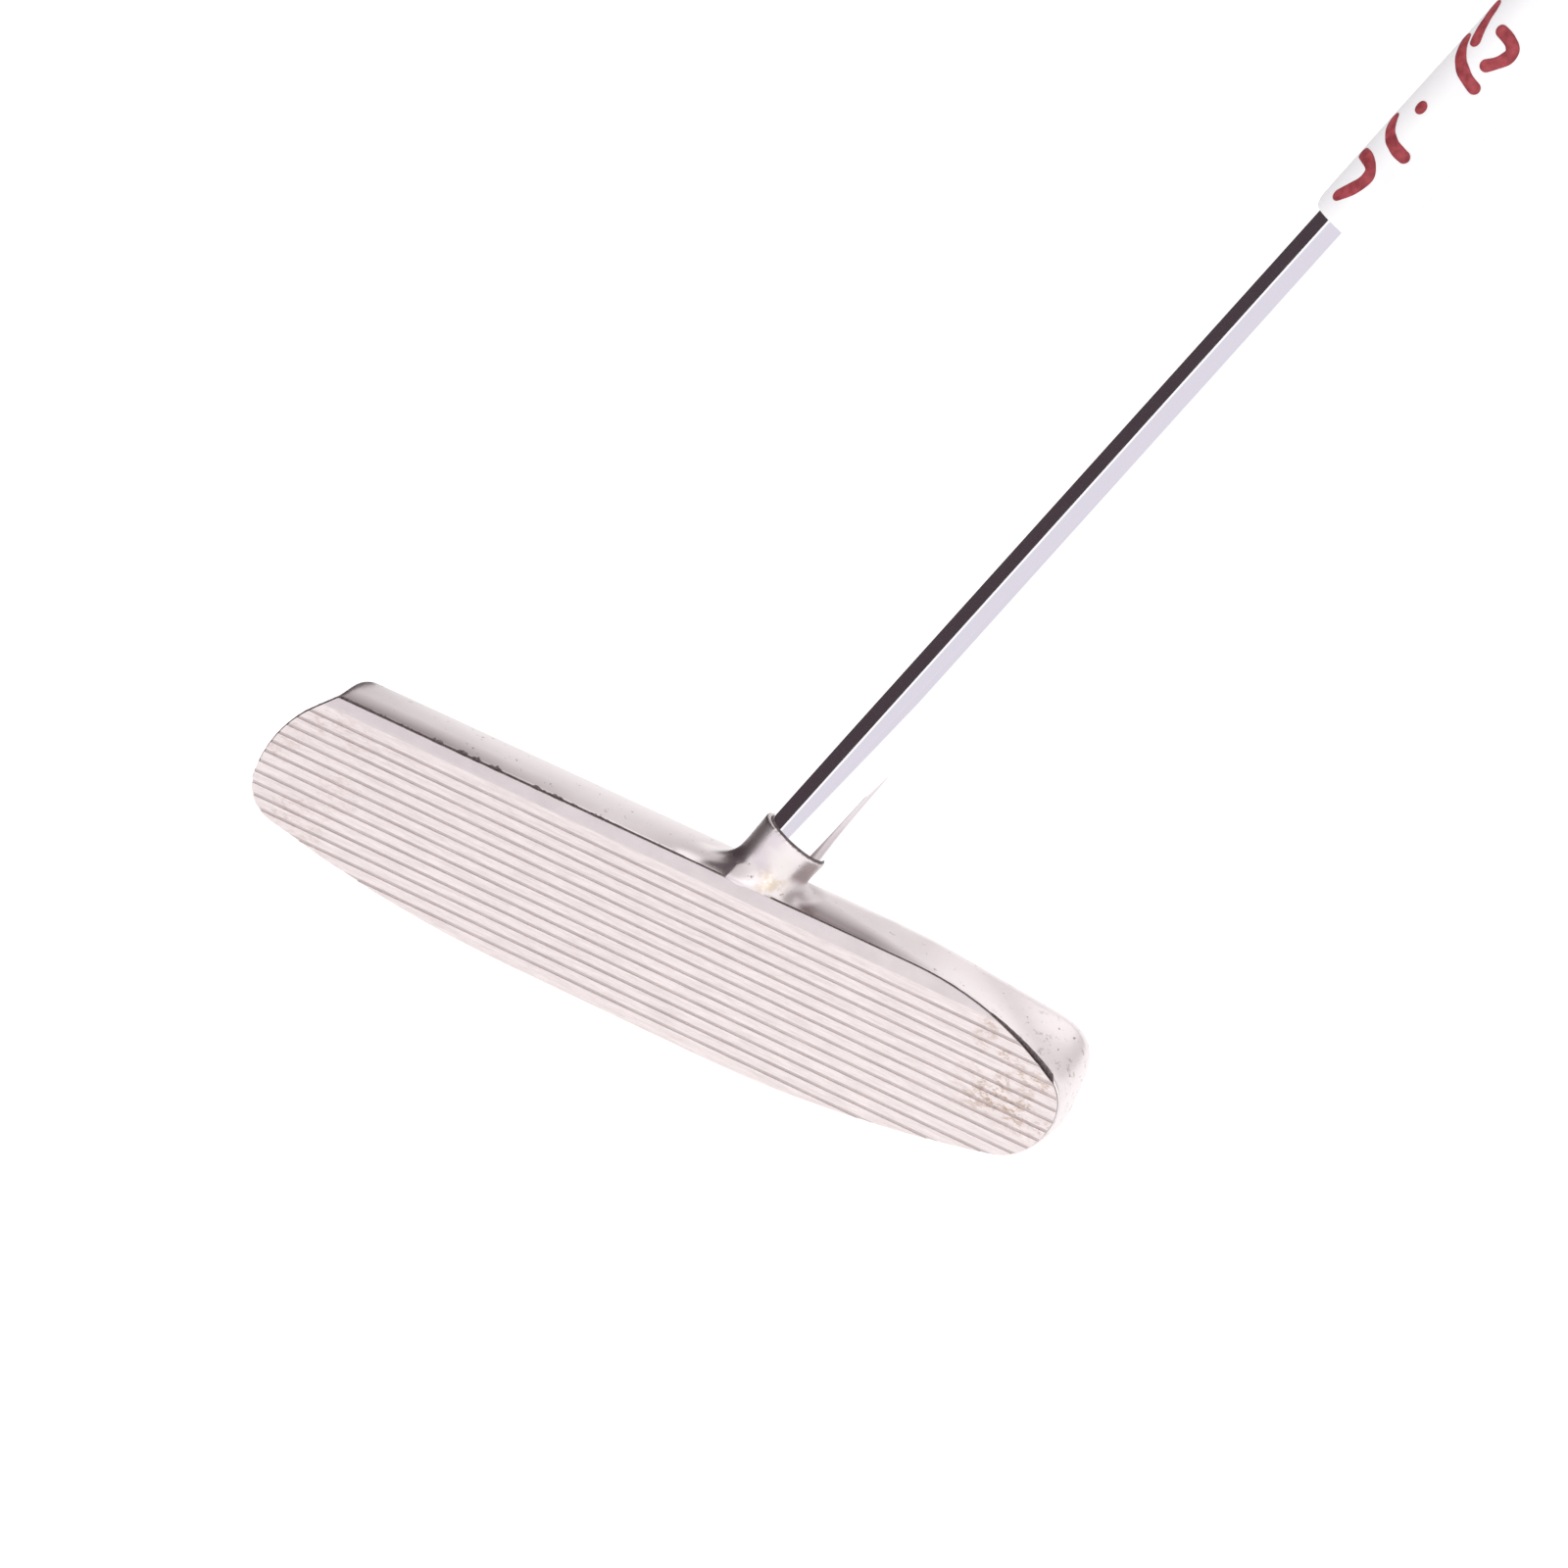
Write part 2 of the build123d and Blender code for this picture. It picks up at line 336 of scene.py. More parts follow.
def cast_metal():
    """Blasted cast steel, warm light grey, with casting pits, painted shade along the seam and round the
    hosel, and stains round the hosel.
    """
    shader = Shader("cast_metal", (0.80, 0.72, 0.72), 0.4, 1.0)
    cloud = shader.noise(60, 4)
    blasted = shader.noise(5200, 2, 0.6)
    pits = shader.noise(1100, 2, 0.5)
    tone = shader.mix(shader.ramp(cloud, 0.35, 0.7), (0.82, 0.75, 0.755), (0.92, 0.855, 0.865))
    pitted = shader.mix(casting_pits(shader, pits), tone, (0.40, 0.31, 0.29))
    worn = hosel_wear(shader, pitted)
    # Painted shade: the dark colour laid over the seam, the trough and the hosel's flanks.
    shader.color(shader.mix(cast_painted_shade(shader, cloud), worn, (0.33, 0.27, 0.275)))
    shader.roughness(shader.ramp(cloud, 0.3, 0.7, 0.27, 0.38))
    shader.bump((blasted, 0.00003, 0.35), (shader.ramp(pits, 0.67, 0.77, 1.0, 0.0), 0.00007, 0.5))
    return shader.material


BAND_EDGE = 3.4 * MM       # from the plate's top down to the end of the plain band
BAND_STEP = 2.0 * MM       # from the plate's top down to where the band turns lighter


def rust_share(shader):
    """Share of rust freckles, which lie at the heel's end of the plate and faintly at the toe's."""
    low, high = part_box("face_plate")
    x = shader.axis("X")
    patch = shader.ramp(shader.noise(170, 3, 0.6), 0.46, 0.58)
    dots = shader.ramp(shader.noise(1700, 3, 0.75, (0.45, 1.0, 1.0)), 0.46, 0.62)
    heel = shader.times(
        shader.ramp(x, high.x - 19 * MM, high.x - 9 * MM),
        shader.ramp(shader.axis("Z"), 8 * MM, 12 * MM),
    )
    toe = shader.ramp(x, low.x + 22 * MM, low.x + 4 * MM, 0.0, 0.4)
    return shader.times(shader.most(heel, toe), patch, dots)


def milled_metal():
    """Warm grey metal: grain along the grooves, dirt and painted shade in them, rust specks and a plain
    top band.
    """
    shader = Shader("milled_metal", (0.86, 0.76, 0.75), 0.4, 1.0)
    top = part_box("face_plate")[1].z
    z = shader.axis("Z")
    grain = shader.noise(900, 4, 0.7, (0.08, 1.0, 1.0))
    fine = shader.noise(4200, 2, 0.6, (0.25, 1.0, 1.0))
    streaks = shader.noise(2300, 4, 0.75, (0.10, 1.0, 1.0))
    tone = shader.mix(shader.ramp(streaks, 0.34, 0.66), (0.77, 0.683, 0.673), (0.905, 0.822, 0.812))
    rusty = shader.mix(rust_share(shader), tone, (0.50, 0.36, 0.27))
    dirt = shader.ramp(shader.noise(500, 3, 0.6, (0.3, 1.0, 1.0)), 0.3, 0.7)
    # Groove floors darker with depth: dirt and painted shade in the recesses.
    groove_dirt_and_shade = shader.mix(dirt, (0.40, 0.34, 0.34), (0.58, 0.51, 0.50))
    grooved = shader.mix(shader.ramp(shader.behind_face(), 0.28 * MM, 0.40 * MM), rusty, groove_dirt_and_shade)
    cloud = shader.ramp(shader.noise(240, 4, 0.6), 0.3, 0.7)
    dull = shader.mix(cloud, (0.67, 0.605, 0.607), (0.74, 0.67, 0.672))
    plain = shader.mix(shader.ramp(z, top - BAND_STEP - 0.1 * MM, top - BAND_STEP + 0.1 * MM), rusty, dull)
    band = shader.ramp(z, top - BAND_EDGE - 0.05 * MM, top - BAND_EDGE + 0.05 * MM)
    shader.color(shader.mix(band, grooved, plain))
    shader.roughness(shader.ramp(grain, 0.3, 0.7, 0.36, 0.48))
    shader.bump((grain, 0.00005, 0.4), (fine, 0.00003, 0.45))
    return shader.material


def chrome():
    shader = Shader("chrome", (0.93, 0.92, 0.94), 0.05, 1.0)
    haze = shader.noise(220, 3)
    scratches = shader.noise(2600, 2, 0.6, (1.0, 1.0, 0.02))
    shader.roughness(shader.ramp(haze, 0.3, 0.7, 0.03, 0.075))
    shader.bump((scratches, 0.000003, 0.15))
    return shader.material


# Dark glue; where it shows at the plate's edge and the hosel's mouth it also stands for the shade in the
# gaps there.
def glue_and_gap_shade():
    shader = Shader("glue_and_gap_shade", (0.09, 0.065, 0.065), 0.5)
    crumbs = shader.noise(2500, 3)
    shader.color(shader.mix(shader.ramp(crumbs, 0.4, 0.7), (0.08, 0.057, 0.06), (0.20, 0.15, 0.155)))
    shader.bump((crumbs, 0.00005, 0.6))
    return shader.material


def paper():
    shader = Shader("paper", (0.93, 0.92, 0.93), 0.75)
    fibres = shader.noise(1800, 4, 0.65)
    waves = shader.noise(140, 2)
    clean = shader.mix(shader.ramp(waves, 0.3, 0.7), (0.90, 0.89, 0.905), (0.95, 0.945, 0.95))
    # Painted shade: the sleeve greyer towards the toe's side.
    toe_side_shade = shader.ramp(shader.along(GRIP_FRONT, SHAFT_POINT), 1.5 * MM, 5.8 * MM, 0.0, 0.8)
    shader.color(shader.mix(toe_side_shade, clean, (0.70, 0.68, 0.70)))
    shader.bump((fibres, 0.00003, 0.3), (waves, 0.0003, 0.3))
    shader.set("Subsurface Weight", 0.1)
    shader.set("Subsurface Radius", (0.002, 0.002, 0.002))
    return shader.material


def red_ink():
    shader = Shader("red_ink", (0.30, 0.02, 0.03), 0.55)
    pooled = shader.noise(700, 3)
    shader.color(shader.mix(shader.ramp(pooled, 0.35, 0.7), (0.23, 0.012, 0.02), (0.42, 0.05, 0.065)))
    return shader.material


def rubber():
    shader = Shader("rubber", (0.022, 0.022, 0.024), 0.72)
    pores = shader.noise(3000, 3, 0.6)
    worn = shader.noise(45, 4)
    shader.color(shader.mix(shader.ramp(worn, 0.35, 0.75), (0.016, 0.016, 0.018), (0.045, 0.044, 0.046)))
    shader.roughness(shader.ramp(worn, 0.3, 0.7, 0.82, 0.6))
    shader.bump((pores, 0.00004, 0.5))
    return shader.material


def hard_plastic():
    shader = Shader("hard_plastic", (0.02, 0.02, 0.022), 0.4)
    orange_peel = shader.noise(1500, 2)
    shader.roughness(shader.ramp(orange_peel, 0.3, 0.7, 0.36, 0.5))
    shader.bump((orange_peel, 0.00003, 0.4))
    return shader.material


def cork():
    shader = Shader("cork", (0.52, 0.34, 0.19), 0.85)
    grains = shader.noise(900, 3)
    shader.color(shader.mix(shader.ramp(grains, 0.35, 0.65), (0.30, 0.17, 0.09), (0.60, 0.42, 0.25)))
    shader.bump((grains, 0.0001, 0.6))
    return shader.material


def masking_tape():
    shader = Shader("masking_tape", (0.72, 0.62, 0.42), 0.8)
    crepe = shader.noise(1400, 3, 0.6, (1.0, 1.0, 3.0))
    shader.color(shader.mix(shader.ramp(crepe, 0.3, 0.7), (0.64, 0.54, 0.36), (0.78, 0.69, 0.49)))
    shader.bump((crepe, 0.00005, 0.5))
    return shader.material


def dress(piece, material):
    piece.data.materials.clear()
    piece.data.materials.append(material)


CAST = cast_metal()
MILLED = milled_metal()
CHROME = chrome()
GLUE_AND_GAP_SHADE = glue_and_gap_shade()
PAPER = paper()
INK = red_ink()
RUBBER = rubber()
PLASTIC = hard_plastic()

dress(nodes["head_body"], CAST)
dress(nodes["face_plate"], MILLED)
dress(nodes["shaft"], CHROME)
dress(nodes["shaft_tip_plug"], cork())
dress(nodes["grip_tape"], masking_tape())
dress(nodes["grip_cap"], PLASTIC)

# ---------------------------------------------------------------- mesh helpers


def skin(name, rings, material, stands_for=None, loop_rows=False, cap=False):
    """Mesh from rings of equally many points, closed round each ring and ridden on the part."""
    count = len(rings[0])
    points = [point for ring in rings for point in ring]
    faces = []
    rows = len(rings)
    for row in range(rows if loop_rows else rows - 1):
        after = (row + 1) % rows
        for column in range(count):
            beside = (column + 1) % count
            faces.append((
                row * count + column,
                row * count + beside,
                after * count + beside,
                after * count + column,
            ))
    if cap:
        faces.append(tuple(range(count))[::-1])
        faces.append(tuple((rows - 1) * count + column for column in range(count)))
    mesh = bpy.data.meshes.new(name)
    mesh.from_pydata([tuple(p) for p in points], [], faces)
    mesh.validate()
    mesh.shade_smooth()
    piece = bpy.data.objects.new(name, mesh)
    bpy.context.scene.collection.objects.link(piece)
    dress(piece, material)
    outward(mesh)
    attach(piece, ROOT)
    if stands_for:
        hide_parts(stands_for)
    return piece


def outward(mesh):
    """Turn the faces of a closed mesh so that they look outwards."""
    work = bmesh.new()
    work.from_mesh(mesh)
    bmesh.ops.recalc_face_normals(work, faces=work.faces)
    work.to_mesh(mesh)
    work.free()


def lathe(heights_and_radii, count, shape=None):
    """Rings round the shaft; shape(height, angle) may change a ring's radius."""
    rings = []
    for height, radius in heights_and_radii:
        ring = []
        for step in range(count):
            angle = 2 * math.pi * step / count
            extra = shape(height, angle) if shape else 0.0
            ring.append(shaft_place(height, radius + extra, angle))
        rings.append(ring)
    return rings


# ---------------------------------------------------------------- cast body

BODY_VOXEL = 0.26 * MM
BLEND_RADIUS = 8.5 * MM
BLEND_STEPS = 150
EDGE_STEPS = 26
HEEL_STEPS = 700
FOOT_STEPS = 500
FOOT_REACH = 3.2 * MM
SADDLE_RADIUS = 5.1 * MM   # of the saddle's ring, which lies just inside the hosel's surface
FOOT_SIDES = ((5.2 * MM, -2.2 * MM, 0.0), (-8.0 * MM, -3.0 * MM, 0.0))
BORE_DEPTH = 25.0 * MM
CROWN = 0.38 * MM          # how far the top between plate and crest swells


def hull(points):
    """Closed convex mesh data round a list of points."""
    work = bmesh.new()
    verts = [work.verts.new(point) for point in points]
    result = bmesh.ops.convex_hull(work, input=verts)
    bmesh.ops.delete(work, geom=result["geom_interior"], context="VERTS")
    mesh = bpy.data.meshes.new("hull")
    work.to_mesh(mesh)
    work.free()
    return mesh


def on_face(x, z, depth):
    """Point at a depth behind the face plane."""
    return Vector((x, FACE_Y + z * LEAN + depth, z))


def saddle():
    """Metal that runs from the plate's top band up into the front of the hosel."""
    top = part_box("face_plate")[1].z
    foot = down_shaft(FOOT_DROP + 0.5 * MM)
    points = []
    for share in (-1.0, -0.6, -0.2, 0.2, 0.6, 0.8):
        drop = (1.6 - 0.8 * abs(share)) * MM
        points.append(on_face(foot.x + (4.0 * share - 0.6) * MM, top - drop, 0.12 * MM))
        points.append(on_face(foot.x + 4.8 * share * MM, top + 0.4 * MM, 0.4 * MM))
    for degrees in range(192, 320, 12):
        turn = math.radians(degrees)
        round_hosel = Vector((math.cos(turn), math.sin(turn), 0)) * SADDLE_RADIUS
        points.append(foot + SHAFT_UP * 3.5 * MM + round_hosel)
        points.append(foot - SHAFT_UP * 2.0 * MM + round_hosel * 0.8)
    return hull(points)


def cylinder_between(start, finish, radius, sides=128):
    """Closed cylinder mesh data between two points."""
    axis = (finish - start).normalized()
    first = axis.orthogonal().normalized()
    second = axis.cross(first)
    rings = []
    for centre in (start, finish):
        ring = []
        for step in range(sides):
            turn = 2 * math.pi * step / sides
            ring.append(centre + (first * math.cos(turn) + second * math.sin(turn)) * radius)
        rings.append(ring)
    points = rings[0] + rings[1]
    faces = [(i, (i + 1) % sides, sides + (i + 1) % sides, sides + i) for i in range(sides)]
    faces.append(tuple(range(sides))[::-1])
    faces.append(tuple(range(sides, 2 * sides)))
    mesh = bpy.data.meshes.new("cylinder")
    mesh.from_pydata(points, [], faces)
    outward(mesh)
    return mesh


def apply_modifiers(piece):
    """Replace a piece's mesh with what its modifiers make of it."""
    graph = bpy.context.evaluated_depsgraph_get()
    mesh = bpy.data.meshes.new_from_object(piece.evaluated_get(graph))
    piece.modifiers.clear()
    piece.data = mesh


def rise(value, low, high):
    """0 on the low side, 1 on the high side and straight between; low may be the larger one."""
    return np.clip((value - low) / (high - low), 0, 1)


def relax(place, ends, degree, share):
    """Move each point by a share of the way to the middle of its neighbours."""
    total = np.zeros_like(place)
    for axis in range(3):
        total[:, axis] = np.bincount(ends[:, 0], place[ends[:, 1], axis], len(place))
        total[:, axis] += np.bincount(ends[:, 1], place[ends[:, 0], axis], len(place))
    place += np.where(share > 0, total / degree - place, 0) * share


def soften(place, ends, degree, weight, steps):
    """Many smoothing steps on the few points that carry a weight."""
    inside = weight > 0
    kept = ends[inside[ends[:, 0]] | inside[ends[:, 1]]]
    used, local = np.unique(kept, return_inverse=True)
    local = local.reshape(-1, 2)
    spots = place[used]
    for step in range(steps):
        relax(spots, local, degree[used], weight[used][:, None] * 0.7)
    place[used] = spots


def smooth_body(mesh):
    """Wide blend round the hosel's foot, a light one on the edges, none beside the plate."""
    count = len(mesh.vertices)
    place = np.zeros(count * 3)
    mesh.vertices.foreach_get("co", place)
    place = place.reshape(-1, 3)
    facing = np.zeros(count * 3)
    mesh.vertices.foreach_get("normal", facing)
    upward = facing.reshape(-1, 3)[:, 2]
    ends = np.zeros(len(mesh.edges) * 2, np.int64)
    mesh.edges.foreach_get("vertices", ends)
    ends = ends.reshape(-1, 2)
    degree = np.bincount(ends.ravel(), minlength=count)[:, None]

    foot = np.array(down_shaft(FOOT_DROP))
    away = np.linalg.norm((place - foot) * np.array((1.0, 1.0, 1.25)), axis=1)
    below_mouth = -((place - np.array(down_shaft(MOUTH_DROP))) @ np.array(SHAFT_UP))
    behind = place[:, 1] - FACE_Y - place[:, 2] * LEAN
    blend = np.clip(1.35 - away / BLEND_RADIUS, 0, 1) * rise(below_mouth, 1.2 * MM, 4.2 * MM)
    clear = rise(behind, 1.6 * MM, 2.8 * MM)

    share = rise(behind, 1.4 * MM, 11.4 * MM)
    top = rise(upward, 0.5, 0.8) * rise(below_mouth, 4 * MM, 7 * MM) * rise(away, 7 * MM, 11 * MM)
    place[:, 2] += CROWN * 4 * share * (1 - share) * top

    heel = rise(place[:, 0], 30 * MM, 38 * MM) * rise(place[:, 2], 8 * MM, 14 * MM)
    blend = np.maximum(blend, clear * heel)
    light = clear * rise(below_mouth, 0.8 * MM, 1.8 * MM)
    blend[(behind < 1.4 * MM) & ~((away < BLEND_RADIUS) & (behind < 1.3 * MM))] = 0
    for step in range(BLEND_STEPS):
        weight = np.maximum(blend, light) if step < EDGE_STEPS else blend
        relax(place, ends, degree, weight[:, None] * 0.6)

    # The top between plate and crest towards the heel.
    lengthwise = rise(place[:, 0], 28 * MM, 38 * MM) * rise(place[:, 0], 62.5 * MM, 58.5 * MM)
    crosswise = rise(behind, 1.8 * MM, 3.8 * MM) * rise(behind, 10.8 * MM, 7.8 * MM)
    soften(place, ends, degree, lengthwise * crosswise * rise(upward, 0.1, 0.4), HEEL_STEPS)
    # Both sides of the hosel's foot.
    for side in FOOT_SIDES:
        away = np.linalg.norm(place - foot - np.array(side), axis=1)
        weight = np.clip(1.6 - away / FOOT_REACH, 0, 1) * rise(below_mouth, 3.5 * MM, 6.5 * MM)
        soften(place, ends, degree, weight, FOOT_STEPS)
    mesh.vertices.foreach_set("co", place.ravel())
    mesh.update()


def make_body():
    """The cast body with its hosel blended in and the bore cut again after the blending."""
    mouth = down_shaft(MOUTH_DROP)
    bore = outer_radius("hosel_epoxy")
    filled_low = mouth - SHAFT_UP * (BORE_DEPTH + 0.5 * MM)
    filled_high = mouth - SHAFT_UP * 0.12 * MM
    plug = cylinder_between(filled_low, filled_high, bore + 0.3 * MM)
    piece = bpy.data.objects.new("cast_body", nodes["head_body"].data.copy())
    bpy.context.scene.collection.objects.link(piece)
    join = bmesh.new()
    join.from_mesh(piece.data)
    join.from_mesh(saddle())
    join.from_mesh(plug)
    join.to_mesh(piece.data)
    join.free()
    remesh = piece.modifiers.new("remesh", "REMESH")
    remesh.mode = "VOXEL"
    remesh.voxel_size = BODY_VOXEL
    apply_modifiers(piece)
    smooth_body(piece.data)
    drill_mesh = cylinder_between(mouth - SHAFT_UP * BORE_DEPTH, mouth + SHAFT_UP * 4 * MM, bore)
    drill = bpy.data.objects.new("drill", drill_mesh)
    bpy.context.scene.collection.objects.link(drill)
    cut = piece.modifiers.new("bore", "BOOLEAN")
    cut.operation = "DIFFERENCE"
    cut.solver = "EXACT"
    cut.object = drill
    apply_modifiers(piece)
    bpy.data.objects.remove(drill)
    piece.data.shade_smooth()
    dress(piece, CAST)
    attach(piece, ROOT)
    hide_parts("head_body")


# ---------------------------------------------------------------- glue at the hosel's mouth, with painted shade in the gap

GLUE_RISE = 0.25 * MM      # how far the glue climbs the shaft above the mouth


def make_mouth_glue_and_gap_shade():
    """Film in the bore with a hollow collar of dark glue between the lip and the shaft; the collar also
    stands for the shade in the gap there.
    """
    low, high = along_shaft("hosel_epoxy")
    bore = outer_radius("hosel_epoxy")
    tip = TIP_RADIUS
    mouth = high + 0.3 * MM
    profile = [
        (low, 0.2 * MM),
        (low, bore * 0.98),
        (low + 0.2 * MM, bore),
        (high, bore),
        (mouth - 0.02 * MM, bore + 0.13 * MM),
        (mouth + 0.03 * MM, bore),
        (mouth + 0.12 * MM, tip + 0.05 * MM),
        (mouth + GLUE_RISE, tip + 0.008 * MM),
        (high, tip - 0.02 * MM),
        (low + 0.6 * MM, tip - 0.02 * MM),
        (low + 0.45 * MM, 0.2 * MM),
    ]

    def ragged(height, angle):
        if height < mouth:
            return 0.0
        around = Vector((math.cos(angle) * 2.2, math.sin(angle) * 2.2, height * 900))
        return 0.03 * MM * noise.noise(around)

    skin("mouth_glue_and_gap_shade", lathe(profile, 96, ragged), GLUE_AND_GAP_SHADE, "hosel_epoxy", loop_rows=True)


# ---------------------------------------------------------------- bead of glue round the plate, also painted shade at its edge

def plate_outline():
    """The film's outer edge in order round the head, as (x, height up the face) pairs."""
    film = nodes["face_bond"].data
    depths = [v.co.dot(LOFT_BACK) for v in film.vertices]
    front = min(depths)
    middle_z = 12 * MM
    edge = {}
    for vertex, depth in zip(film.vertices, depths):
        if depth < front + 0.02 * MM:
            x, z = vertex.co.x, vertex.co.dot(LOFT_UP)
            edge[(round(x, 6), round(z, 6))] = math.atan2(z - middle_z, x * 0.25)
    return sorted(edge, key=edge.get), front


def resample(points, spacing):
    """Evenly spaced points round a closed outline."""
    closed = points + points[:1]
    lengths = [math.dist(a, b) for a, b in zip(closed, closed[1:])]
    total = sum(lengths)
    count = int(total / spacing)
    result = []
    index, walked = 0, 0.0
    for step in range(count):
        target = total * step / count
        while walked + lengths[index] < target:
            walked += lengths[index]
            index += 1
        share = (target - walked) / lengths[index]
        a, b = closed[index], closed[index + 1]
        result.append((a[0] + (b[0] - a[0]) * share, a[1] + (b[1] - a[1]) * share))
    return result


def bead_size(x, z, low, high):
    """How far the glue stands out: ragged along the toe's top edge, a fat crescent at the heel. This dark
    glue also stands for the shade at the plate's edge.
    """
    chip = noise.noise(Vector((x * 700, z * 700, 3.0)))
    fine = noise.noise(Vector((x * 2600, z * 2600, 9.0)))
    heel = x - (high.x - 14 * MM)
    if heel > 0 and z > 12 * MM:
        thick = min(1.0, heel / (9 * MM))
        stop = min(1.0, max(0.0, (z - 17.2 * MM) / (0.5 * MM)))
        return (0.02 + (0.24 + 0.42 * thick + 0.04 * fine) * stop) * MM
    if x > 0 and z > 12 * MM:
        return (0.17 + 0.03 * chip) * MM
    if z > 8 * MM and x < low.x + 12 * MM:
        return (0.31 + 0.05 * fine) * MM
    if z > 12 * MM:
        ragged = max(0.0, chip * 1.3 + fine * 0.8)
        fading = min(1.0, max(0.0, -(x + 8 * MM) / (14 * MM)))
        return (0.22 + (0.02 + 0.42 * ragged) * fading) * MM
    return 0.02 * MM


def make_plate_bead():
    """Dark film behind the plate whose squeezed-out edge shows as a line round it; the line is glue and
    painted shade in the gap round the plate.
    """
    outline, front = plate_outline()
    points = resample(outline, 0.30 * MM)
    low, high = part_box("face_plate")
    inner, outer_front, outer_back, inner_back = [], [], [], []
    count = len(points)
    for index, (x, z) in enumerate(points):
        before, after = points[index - 1], points[(index + 1) % count]
        along = Vector((after[0] - before[0], after[1] - before[1])).normalized()
        away = Vector((along.y, -along.x))
        size = bead_size(x, z, low, high)
        reach = 0.10 * MM + size

        def spot(out, depth):
            place = Vector((x, z)) + away * out
            place = Vector((place.x, 0, 0)) + LOFT_UP * place.y + LOFT_BACK * (front + depth)
            return Vector(min(max(v, a), b) for v, a, b in zip(place, *cad_box))

        inner.append(spot(-1.5 * MM, 0.0))
        outer_front.append([
            spot(0.06 * MM, 0.0),
            spot(reach * 0.75, -size * 0.9),
            spot(reach, -size * 0.35),
        ])
        outer_back.append(spot(reach, 0.10 * MM))
        inner_back.append(spot(-1.5 * MM, 0.11 * MM))
    rings = [inner]
    for layer in range(3):
        rings.append([stack[layer] for stack in outer_front])
    rings += [outer_back, inner_back]
    skin("plate_bead", rings, GLUE_AND_GAP_SHADE, "face_bond", loop_rows=True)


# ---------------------------------------------------------------- paper sleeve and its pen marks

PAPER_STEP = 0.14 * MM     # thickness of the paper at its overlap
SHOULDER_HEIGHT = 2.2 * MM
SHOULDER_DEPTH = 0.7 * MM


def make_label():
    """Rolled paper sleeve: a spiral with one overlap edge and softly pressed ends."""
    low, high = along_shaft("price_label")
    radius = outer_radius("price_label")
    core = TIP_RADIUS + 0.02 * MM
    profile = [(low, core)]
    for step in range(9):
        turn = math.radians(90) * step / 8
        inset = SHOULDER_DEPTH * (1 - math.sin(turn))
        profile.append((low + SHOULDER_HEIGHT * (1 - math.cos(turn)), radius - inset))
    for step in range(1, 60):
        share = step / 60
        profile.append((low + SHOULDER_HEIGHT + (high - low - 2 * SHOULDER_HEIGHT) * share, radius))
    for step in range(8, -1, -1):
        turn = math.radians(90) * step / 8
        inset = SHOULDER_DEPTH * (1 - math.sin(turn))
        profile.append((high - SHOULDER_HEIGHT * (1 - math.cos(turn)), radius - inset))
    profile.append((high, core))

    def wrapped(height, angle):
        if abs(height - low) < 1e-9 or abs(height - high) < 1e-9:
            return 0.0
        spiral = -PAPER_STEP * (angle / (2 * math.pi))
        place = Vector((math.cos(angle) * 1.2, math.sin(angle) * 1.2, height * 60))
        return spiral + 0.06 * MM * (noise.noise(place) - 0.5)

    rings = lathe(profile, 160, wrapped)
    skin("paper_sleeve", rings, PAPER, "price_label", loop_rows=True)


# Pen strokes on the sleeve: each is (height above its lower end in mm, degrees round it) points.
PEN_STROKES = (
    ((9.7, 68), (8.4, 30), (3.4, 46)),
    ((16.0, 70), (13.9, 44), (13.3, 10)),
    ((19.6, 40), (19.8, 40)),
    ((30.4, 70), (27.7, 40), (26.5, 2)),
    ((36.4, 70), (33.6, 60), (31.2, 48)),
    ((34.6, 26), (33.4, -4), (29.8, 10)),
)
PEN_WIDTH = 1.8 * MM
PEN_SIDE = -1.0            # strokes run round towards the toe's side of the view


def smooth_path(points, count):
    """Points along a smooth curve through a few control points."""
    if len(points) == 2:
        points = [points[0], tuple((a + b) / 2 for a, b in zip(*points)), points[1]]
    path = []
    for step in range(count + 1):
        t = step / count
        a, b, c = points
        path.append(tuple(
            (1 - t) ** 2 * p + 2 * t * (1 - t) * (2 * q - (p + r) / 2) + t**2 * r
            for p, q, r in zip(a, b, c)
        ))
    return path


